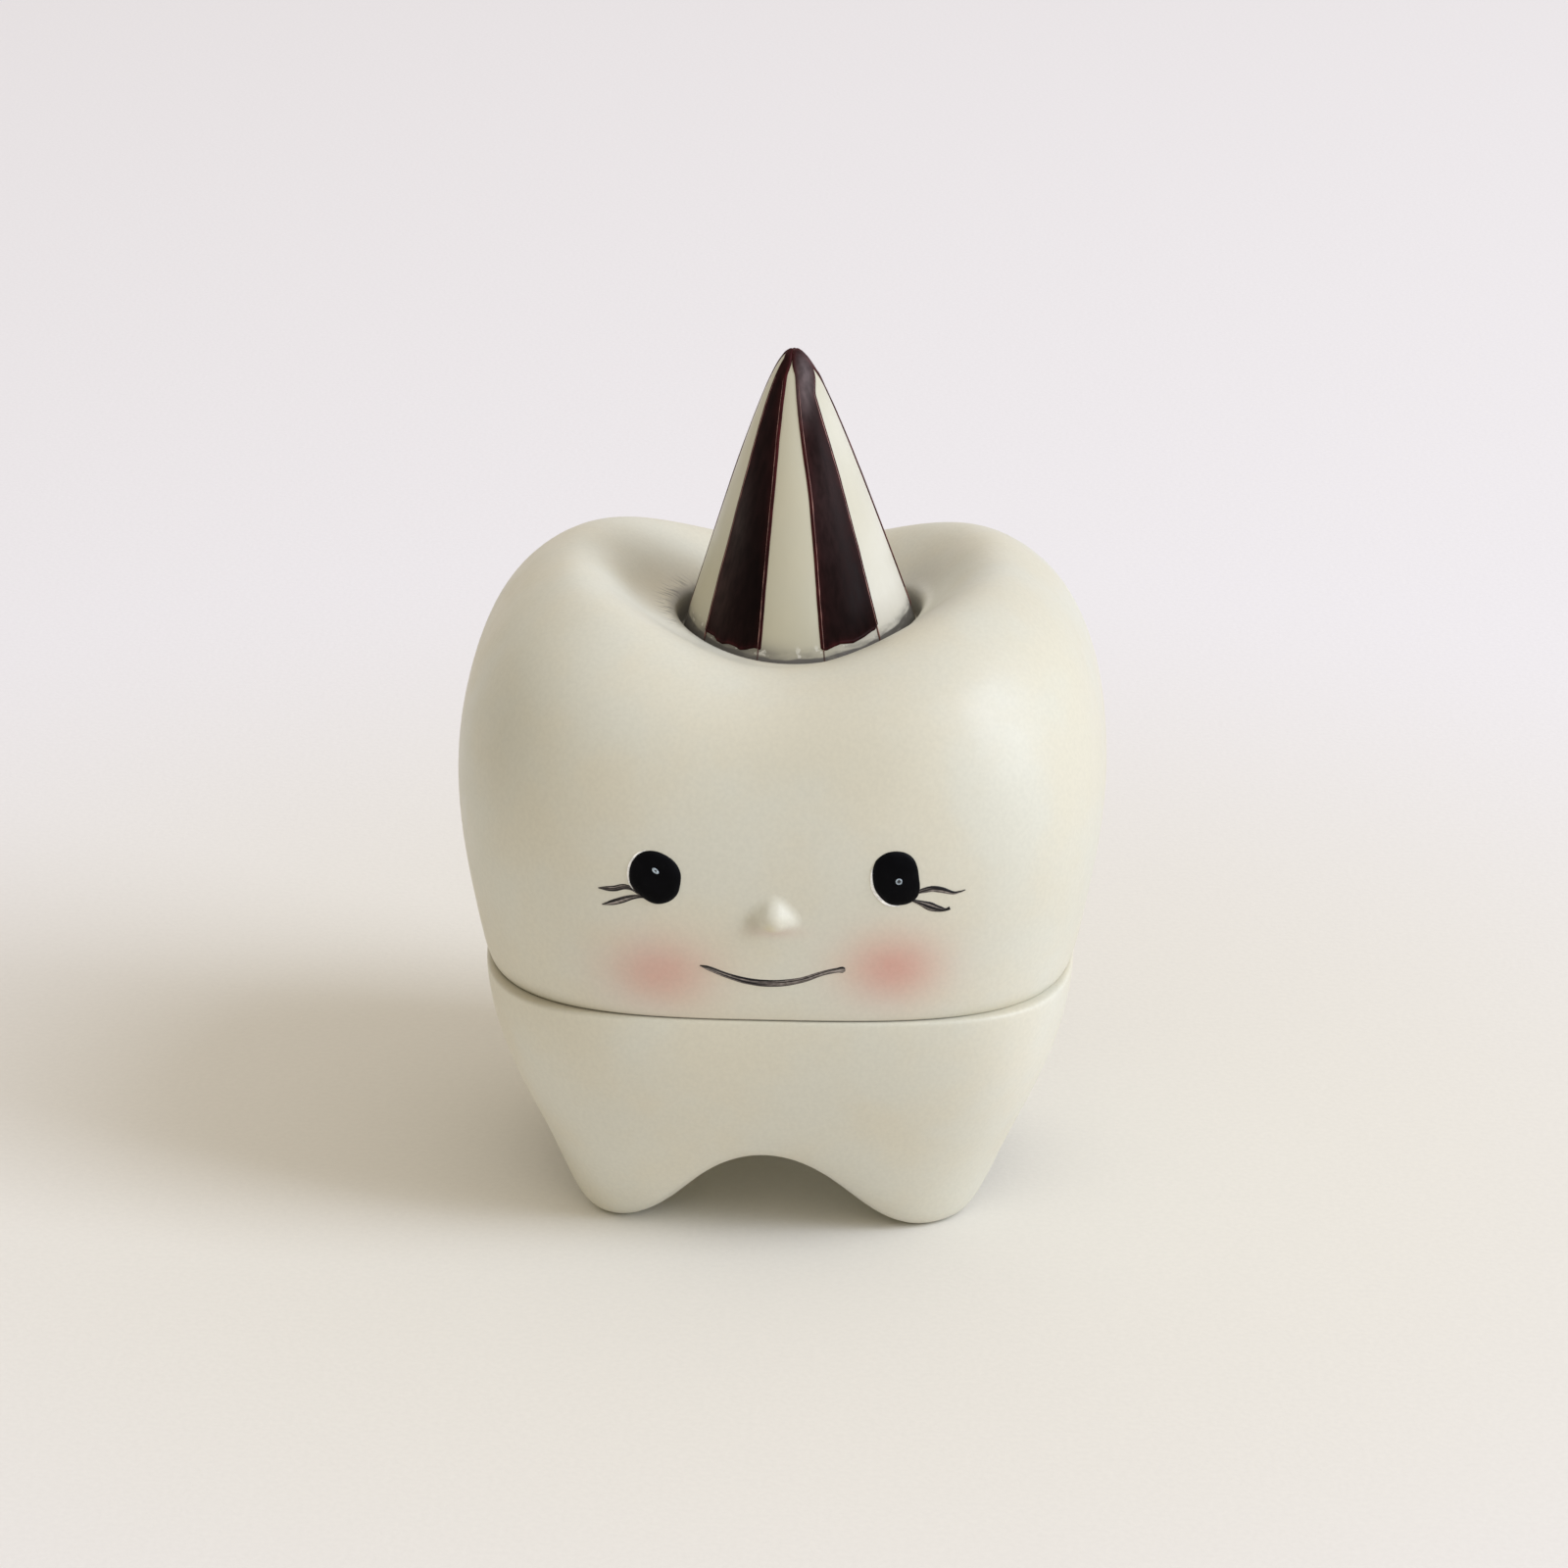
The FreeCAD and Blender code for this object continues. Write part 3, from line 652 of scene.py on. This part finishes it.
def stripeEdge(index, side, way):
    # the brush's edge in degrees: it wobbles, and near the tip it meets the next stripe's
    tops = stripes["tops"]
    beyond = tops[(index + (1 if side else -1)) % len(tops)][1 - side]
    beyond += 360 * round((tops[index][side] - beyond) / 360)
    toTip = hatRun - way
    head = ease(1 - toTip / stripes["narrowing"])
    edge = stripes["edges"][index][side] * (1 - head) + tops[index][side] * head
    gap = index if side else index - 1
    meet = ease(1 - (toTip - stripes["meets"][gap]) / stripes["closing"][gap])
    wobble = wander(way, index * 2 + side, stripes["wobbleLength"], stripes["wobble"])
    wobble = math.degrees(wobble / max(hatOutline(way)[0], stripes["leastRadius"]))
    return edge + ((tops[index][side] + beyond) / 2 - edge) * meet + wobble * (1 - meet)


def stripeFoot(index, share):
    # the stripe's ragged lower end, which keeps clear of the crown's edge
    left, right = stripes["edges"][index]
    aside = math.sin(math.radians((left + right) / 2 + (right - left) / 2 * share))
    rise = hat["rim"][1] * aside ** 2 + hat["rim"][2] * aside
    ragged = wander(share * 4, index + 11, stripes["footWobbleLength"], stripes["footWobble"])
    return stripes["band"] + rise + ragged + stripes["footCorners"] * share ** 8


def paintStripe(index):
    shares = acrossShares(stripes["across"])
    rings = []
    marks = []
    for i in range(stripes["rows"]):
        along = i / (stripes["rows"] - 1)
        along = 0.5 - 0.5 * math.cos(math.pi * along)
        tops, unders, mark = [], [], []
        for share in shares:
            foot = stripeFoot(index, share)
            way = foot + (hatRun - stripes["tip"] - foot) * along
            left, right = stripeEdge(index, 0, way), stripeEdge(index, 1, way)
            turn = (left + right) / 2 + (right - left) / 2 * share
            inset = (1 - abs(share)) * math.radians(right - left) / 2 * hatOutline(way)[0]
            nearest = min(inset, (way - foot) * stripes["footRise"])
            lift = stripes["thick"] * (1 - math.exp(-nearest / stripes["roll"]))
            lift += stripes["bead"] * math.exp(-((nearest - stripes["beadInset"]) / stripes["beadWidth"]) ** 2)
            lift += stripes["ripple"] * noise.noise(Vector((share * 5, way * 0.3, index)))
            tops.append(onHat(way, turn, max(lift, 0.0) - stripes["edgeSink"]))
            unders.append(onHat(way, turn, -stripes["underside"]))
            mark.append(math.exp(-nearest / stripes["markReach"]))
        rings.append(tops + unders[::-1])
        marks.append(mark + mark[::-1])
    return closedSkin("stripe", rings, marks)


def drawGuideLine(index, side):
    inward = 1 - 2 * side
    half = guideLines["width"] / 2
    sink = -guideLines["sink"]
    usual, varies = guideLines["swell"]
    onBand, swellLift = guideLines["onBand"], guideLines["swellLift"]
    out, high = guideLines["shoulder"]
    last = guideLines["steps"] - 1
    rings = []
    marks = []
    for i in range(guideLines["steps"]):
        way = guideLines["start"] + (hatRun - guideLines["end"] - guideLines["start"]) * i / last
        radius = hatOutline(way)[0]
        middle = stripeEdge(index, side, way) + math.degrees(inward * guideLines["inset"] / radius)
        swell = usual + varies * noise.noise(Vector((way * 0.6, index * 5.1, side * 2.7)))
        taper = min(1.0, 6 * (last - i) / last + 0.1, 8 * i / last + 0.6)     # thin at both ends
        onPaint = ease((way - stripes["band"]) / guideLines["climb"])
        lift = guideLines["lift"] * (onBand + (1 - onBand) * onPaint) * (1 - swellLift + swellLift * swell)
        section = [(-1, sink), (-out, lift * high), (0, lift), (out, lift * high), (1, sink)]
        rings.append([onHat(way, middle + math.degrees(part * half * swell * taper / radius), up)
                      for part, up in section])
        # paler towards the crest: a painted highlight
        marks.append([share * onPaint for share in (0.0, 0.6, 1.0, 0.6, 0.0)])
    return closedSkin("guideLine", rings, marks)


def paintHat():
    count = len(stripes["edges"])
    coats = joinSkins("hatStripes", [paintStripe(i) for i in range(count)])
    settle(coats, enamel("burgundyEnamel", stripes), "burgundy_enamel", "hat_stripes")
    lines = joinSkins("hatGuideLines", [drawGuideLine(i, side) for i in range(count) for side in (0, 1)])
    settle(lines, enamel("redBrownLine", guideLines), "burgundy_enamel")


paintHat()
print("stripes and guide lines on the hat")


# Face

def frontOf(thing):
    mesh = thing.data
    tree = BVHTree.FromPolygons([v.co for v in mesh.vertices], [p.vertices for p in mesh.polygons])
    inFront = -0.1      # metres, clear of the box
    inwards = Vector((0, 1, 0))

    def touch(x, z):
        return tree.ray_cast(Vector((x * mm, inFront, z * mm)), inwards)[0]

    def skin(x, z, lift, step=0.5):  # a point this far off the surface, whose slope is taken over the step
        across = touch(x + step, z) - touch(x - step, z)
        up = touch(x, z + step) - touch(x, z - step)
        return touch(x, z) + across.cross(up).normalized() * lift * mm

    return skin


face = frontOf(nodes["lid"])
faceSides = ("left", "right")


def curvePoint(before, start, end, after, share):
    return 0.5 * (2 * start + (end - before) * share + (2 * before - 5 * start + 4 * end - after) * share ** 2
                  + (3 * start - before - 3 * end + after) * share ** 3)


def smoothLoop(points, count):
    # a closed line through these points, at even shares of its points
    loop = []
    for i in range(count):
        way = i / count * len(points)
        k = int(way)
        around = (Vector(points[(k + n) % len(points)]) for n in (-1, 0, 1, 2))
        loop.append(curvePoint(*around, way - k))
    return loop


def smoothPath(points, count):
    # an open line through these points
    path = []
    last = len(points) - 1
    for i in range(count):
        way = i / (count - 1) * last
        k = min(int(way), last - 1)
        around = (Vector(points[min(max(k + n, 0), last)]) for n in (-1, 0, 1, 2))
        path.append(curvePoint(*around, way - k))
    return path


# Eyes: outlines in millimetres across and up
eyes = {
    "left": ((-13.98, 42.92), (-13.78, 43.98), (-13.18, 44.91), (-12.34, 45.4), (-11.27, 45.43), (-10.2, 44.99),
             (-9.38, 44.26), (-8.95, 43.26), (-8.98, 42.08), (-9.27, 41.0), (-9.99, 40.22), (-10.95, 39.85),
             (-11.78, 39.93), (-12.61, 40.41), (-13.32, 41.15), (-13.84, 41.89)),
    "right": ((9.52, 42.98), (9.57, 44.13), (9.91, 45.02), (10.66, 45.64), (11.59, 45.87), (12.65, 45.71),
              (13.44, 45.11), (13.86, 44.15), (14.04, 42.98), (14.13, 41.94), (13.9, 41.03), (13.2, 40.39),
              (12.14, 40.15), (11.08, 40.36), (10.24, 41.12), (9.72, 41.98)),
    "points": 72,
    "dome": 0.5, "fullness": (3.0, 0.55),       # its height, and how flat the top and how round the edge are
    "edgeSink": 0.02, "foot": (0.9, 0.08),      # the foot's share of the outline, and its depth in the coat
    "slopeStep": 1.2,
    "rings": (1.0, 0.995, 0.98, 0.955, 0.92, 0.86, 0.78, 0.66, 0.5, 0.32, 0.14, 0.02),
    "markFade": 12,
    "colours": ((0.0018, 0.0018, 0.0023), (0.005, 0.005, 0.006)),
    "rough": (0.3, 0.42), "streak": (1.5, 1.5, 1.5), "shine": 0.04,
}
glints = {                  # each leans by so many degrees
    "left": {"middle": (-11.37, 43.58), "half": (0.23, 0.40), "lean": -49, "hole": 0.25},
    "right": {"middle": (12.09, 42.9), "half": (0.33, 0.33), "lean": 0, "hole": 0.5},
    "points": 28, "lift": 0.05, "slopeStep": 0.3,
    "colours": ((0.006, 0.007, 0.009), (0.38, 0.45, 0.5)),
    "rough": (0.3, 0.4), "streak": (0.2, 0.2, 0.2),
}


def makeEye(side):
    loop = smoothLoop(eyes[side], eyes["points"])
    middle = sum(loop, Vector((0, 0))) / len(loop)
    footShare, footDepth = eyes["foot"]
    rings = [[face(*(middle + (p - middle) * footShare), -footDepth) for p in loop]]
    marks = [[1.0] * len(loop)]
    flatness, roundness = eyes["fullness"]
    for share in eyes["rings"]:
        lift = eyes["dome"] * (1 - share ** flatness) ** roundness - eyes["edgeSink"]
        rings.append([face(*(middle + (p - middle) * share), lift, eyes["slopeStep"]) for p in loop])
        marks.append([share ** eyes["markFade"]] * len(loop))
    return joinSkins(side + "Eye", [closedSkin("eye", rings, marks)])


def makeGlint(side, eye):
    # a fleck of pale paint with a dimple, on top of the eye
    plan = glints[side]
    skin = frontOf(eye)
    lean = math.radians(plan["lean"])
    count = glints["points"]
    profile = ((1.0, -0.04, 0.2), (0.97, 0.6, 0.9), (0.85, 1.0, 1.0), (plan["hole"] + 0.2, 0.9, 1.0),
               (plan["hole"], 0.3, 0.1), (0.05, 0.15, 0.0))     # share of its size, lift and mark
    rings = []
    marks = []
    for share, lift, mark in profile:
        ring = []
        for i in range(count):
            turn = 2 * math.pi * i / count
            x, z = plan["half"][0] * share * math.cos(turn), plan["half"][1] * share * math.sin(turn)
            across = plan["middle"][0] + x * math.cos(lean) + z * math.sin(lean)
            up = plan["middle"][1] - x * math.sin(lean) + z * math.cos(lean)
            ring.append(skin(across, up, lift * glints["lift"], glints["slopeStep"]))
        rings.append(ring)
        marks.append([mark] * count)
    return closedSkin("glint", rings, marks)


def paintEyes():
    black = enamel("blackEnamel", eyes)
    pair = {side: makeEye(side) for side in faceSides}
    flecks = joinSkins("eyeGlints", [makeGlint(side, eye) for side, eye in pair.items()])
    for side, eye in pair.items():
        settle(eye, black, "black_enamel", side + "_eye")
    settle(flecks, enamel("paleGlintPaint", glints), "liner_paint")


paintEyes()
print("eyes painted")


# Brush lines: places in millimetres across and up, and the stroke's width there
lashes = {
    "left": (
        ((-17.0, 41.1, 0.05), (-16.2, 41.11, 0.36), (-15.36, 41.2, 0.48), (-14.5, 41.47, 0.44), (-13.7, 41.35, 0.34),
         (-13.0, 40.92, 0.3), (-12.3, 40.55, 0.2)),
        ((-16.64, 39.35, 0.05), (-15.98, 39.54, 0.34), (-15.13, 39.84, 0.5), (-14.05, 40.29, 0.44),
         (-13.09, 40.55, 0.32), (-12.3, 40.5, 0.15)),
    ),
    "right": (
        ((13.6, 41.4, 0.2), (14.48, 41.66, 0.42), (15.31, 41.8, 0.5), (16.26, 41.61, 0.46), (17.33, 41.23, 0.28),
         (17.92, 41.28, 0.16), (18.5, 41.45, 0.04)),
        ((13.2, 40.75, 0.15), (14.27, 40.32, 0.44), (15.22, 39.87, 0.66), (16.05, 39.57, 0.5), (16.65, 39.47, 0.24),
         (17.05, 39.6, 0.3)),
    ),
}
mouth = ((-7.14, 33.15, 0.08), (-6.6, 32.97, 0.31), (-6.11, 32.77, 0.4), (-4.68, 32.17, 0.46), (-2.78, 31.55, 0.54),
         (-0.87, 31.29, 0.59), (1.05, 31.36, 0.57), (2.95, 31.8, 0.49), (4.86, 32.56, 0.41), (6.2, 32.9, 0.42),
         (6.75, 32.98, 0.52), (7.0, 33.0, 0.28))
brush = {
    "widen": 1.36, "ragged": 0.14, "raggedPace": 0.11,      # paces are to the step along the stroke
    "thick": 0.1, "body": (0.55, 0.6),      # a dry stroke's share of the thickness, and what the paint adds
    "edgeSink": 0.008, "underside": 0.06,
    "across": 15, "perMm": 7, "spareSteps": 12,
    "bristles": 2.6, "bristlePace": 0.035, "contrast": 1.9,
    "lashInk": 0.98, "mouthInk": 0.86,      # how well loaded the brush was, one at most
    "colours": ((0.006, 0.0045, 0.0045), (0.33, 0.285, 0.255)),
    "rough": (0.45, 0.6), "streak": (0.5, 0.5, 0.15), "shine": 0.2,
}
eyeRimHighlights = {                 # painted highlights on the eyes' edges: outline points that each pale rim follows, and its width there
    "left": ((14, 0.04), (15, 0.12), (0, 0.17), (1, 0.18), (2, 0.15), (3, 0.04)),
    "right": ((1, 0.04), (0, 0.2), (15, 0.27), (14, 0.3), (13, 0.25), (12, 0.04)),
    "spread": 1.03, "ink": 1.0,
    "colours": ((0.92, 0.915, 0.89), (0.74, 0.72, 0.66)),
    "rough": (0.4, 0.5), "streak": (0.5, 0.5, 0.5),
}


def brushLine(points, seed, ink):
    ends = math.hypot(points[0][0] - points[-1][0], points[0][1] - points[-1][1])
    steps = int(brush["perMm"] * ends) + brush["spareSteps"]
    path = smoothPath(points, steps)
    dry, paint = brush["body"]
    rings = []
    marks = []
    for i, spot in enumerate(path):
        ahead = path[min(i + 1, steps - 1)] - path[max(i - 1, 0)]
        sideways = Vector((-ahead[1], ahead[0])).normalized()
        tops, unders, mark = [], [], []
        for share in [2 * j / (brush["across"] - 1) - 1 for j in range(brush["across"])]:
            edgeSeed = 3 if share > 0 else 8
            ragged = 1 + brush["ragged"] * noise.noise(Vector((i * brush["raggedPace"], seed, edgeSeed)))
            place = Vector(spot[:2]) + sideways * share * brush["widen"] * spot[2] / 2 * ragged
            bristle = noise.noise(Vector((share * brush["bristles"], i * brush["bristlePace"], seed * 1.7)))
            load = max(0.0, min(1.0, ink + brush["contrast"] * bristle))
            lift = brush["thick"] * (1 - share ** 4) * (dry + paint * load)
            tops.append(face(place[0], place[1], lift - brush["edgeSink"]))
            unders.append(face(place[0], place[1], -brush["underside"]))
            mark.append((1 - load) * (1 - abs(share) ** 3))
        rings.append(tops + unders[::-1])
        marks.append(mark + mark[::-1])
    return closedSkin("brushLine", rings, marks)


def rimHighlightLine(side):
    outline = eyes[side]
    middle = [sum(point[axis] for point in outline) / len(outline) for axis in (0, 1)]
    points = []
    for k, width in eyeRimHighlights[side]:
        across, up = (m + (p - m) * eyeRimHighlights["spread"] for p, m in zip(outline[k], middle))
        points.append((across, up, width))
    return points


def paintLines():
    liner = enamel("linerPaint", brush)
    for k, side in enumerate(faceSides):
        strokes = [brushLine(points, k * 2 + n, brush["lashInk"]) for n, points in enumerate(lashes[side])]
        settle(joinSkins(side + "Lashes", strokes), liner, "liner_paint", side + "_lashes")
    smile = joinSkins("smile", [brushLine(mouth, 9, brush["mouthInk"])])
    settle(smile, liner, "liner_paint", "mouth")
    # pale rims painted as highlights on the eyes' edges
    strokes = [brushLine(rimHighlightLine(side), k + 12, eyeRimHighlights["ink"]) for k, side in enumerate(faceSides)]
    settle(joinSkins("eyeRimHighlights", strokes), enamel("paleRimHighlight", eyeRimHighlights), "cream_paint")


paintLines()
print("lashes, mouth and eye rims painted")

boxes = {"cad": cadBox, "visual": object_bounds()}
{name: [list(corner) for corner in box] for name, box in boxes.items()}
